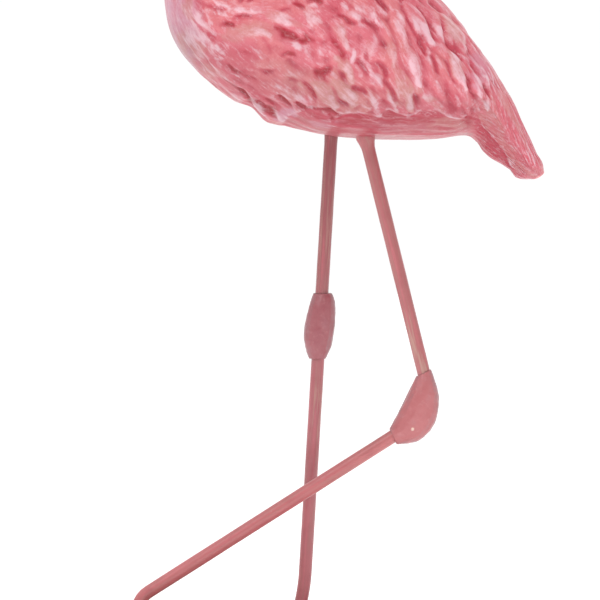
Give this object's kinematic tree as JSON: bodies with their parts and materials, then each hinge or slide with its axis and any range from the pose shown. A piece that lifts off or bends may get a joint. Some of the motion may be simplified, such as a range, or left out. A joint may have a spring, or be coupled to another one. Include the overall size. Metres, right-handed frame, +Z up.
{
  "type": "resin flamingo statue",
  "caption": "Flamingo statue: feathered resin body, neck and head on thin rod legs with cast knees and webbed feet, one leg raised across the other, on a low oval base.",
  "frame": {"origin": "middle of the base's flat underside, where the statue rests", "axes": "+Z up through the figure, -X the way the head looks, -Y the side of the raised leg"},
  "size_m": [0.2452, 0.116, 0.5538],
  "materials": {
    "pink_resin": "painted cast resin, satin, with a darker wash in the hollows and pale dry-brushed feather tips",
    "rose_rod": "satin paint with fine lengthwise streaks and scratches",
    "rose_resin": "smooth satin painted resin",
    "base_resin": "matt painted resin with a sanded ground texture"
  },
  "bodies": {
    "root": {"body": "pink_resin", "standing_leg": "rose_rod", "raised_leg": "rose_rod", "standing_knee": "rose_resin", "raised_knee": "rose_resin", "standing_foot": "rose_resin", "raised_foot": "rose_resin", "base": "base_resin"}
  },
  "joints": []
}
